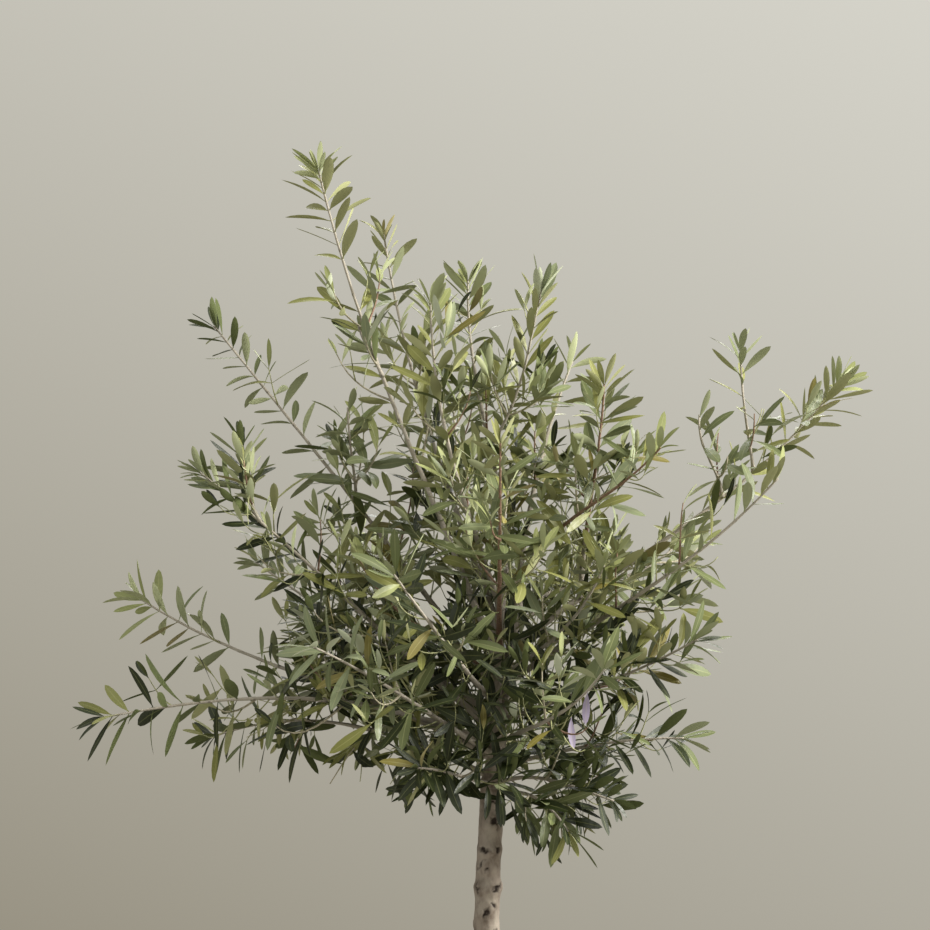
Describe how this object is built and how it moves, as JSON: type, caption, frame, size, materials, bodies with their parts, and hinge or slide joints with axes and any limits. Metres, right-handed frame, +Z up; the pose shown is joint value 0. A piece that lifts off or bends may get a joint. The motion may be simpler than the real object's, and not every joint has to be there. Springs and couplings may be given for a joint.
{
  "type": "potted olive tree",
  "caption": "Young standard olive tree with a clear slender stem and a loose, open crown of narrow grey-green leaves, standing in a plain round clay pot.",
  "frame": {"origin": "the middle of the pot's flat underside, which stands on the ground", "axes": "+Z up along the stem; +X to the right and +Y to the back, seen from the side with the widest view of the crown"},
  "size_m": [1.0716, 0.707, 1.7653],
  "materials": {
    "clay": "unglazed, matt",
    "soil": "moist potting compost with bark chips",
    "bark": "smooth grey bark with small knots",
    "foliage": "satin leaf, silvery underneath"
  },
  "bodies": {
    "root": {"pot": "clay", "soil": "soil", "trunk": "bark", "back_bough": "bark", "back_left_bough": "bark", "back_right_bough": "bark", "far_right_bough": "bark", "far_right_lower_bough": "bark", "front_bough": "bark", "front_left_bough": "bark", "front_right_bough": "bark", "high_left_bough": "bark", "high_left_mid_bough": "bark", "left_back_bough": "bark", "left_mid_bough": "bark", "left_reach_bough": "bark", "low_left_back_bough": "bark", "low_left_bough": "bark", "low_right_far_bough": "bark", "right_back_bough": "bark", "right_leader_bough": "bark", "right_low_bough": "bark", "right_rise_bough": "bark", "top_left_bough": "bark", "upper_left_bough": "bark", "upright_right_bough": "bark", "back_foliage": "foliage", "back_high_foliage": "foliage", "back_left_foliage": "foliage", "back_low_foliage": "foliage", "back_low_left_foliage": "foliage", "back_right_foliage": "foliage", "far_right_foliage": "foliage", "far_right_lower_foliage": "foliage", "front_foliage": "foliage", "front_high_foliage": "foliage", "front_left_foliage": "foliage", "front_right_foliage": "foliage", "hanging_foliage": "foliage", "high_left_foliage": "foliage", "high_left_mid_foliage": "foliage", "inner_left_foliage": "foliage", "inner_right_foliage": "foliage", "leader_foliage": "foliage", "left_back_foliage": "foliage", "left_mid_foliage": "foliage", "left_reach_foliage": "foliage", "low_front_left_foliage": "foliage", "low_left_back_foliage": "foliage", "low_left_foliage": "foliage", "low_right_far_foliage": "foliage", "low_right_foliage": "foliage", "right_back_foliage": "foliage", "right_leader_foliage": "foliage", "right_low_foliage": "foliage", "right_rise_foliage": "foliage", "top_left_foliage": "foliage", "upper_left_foliage": "foliage", "upright_right_foliage": "foliage"}
  },
  "joints": []
}
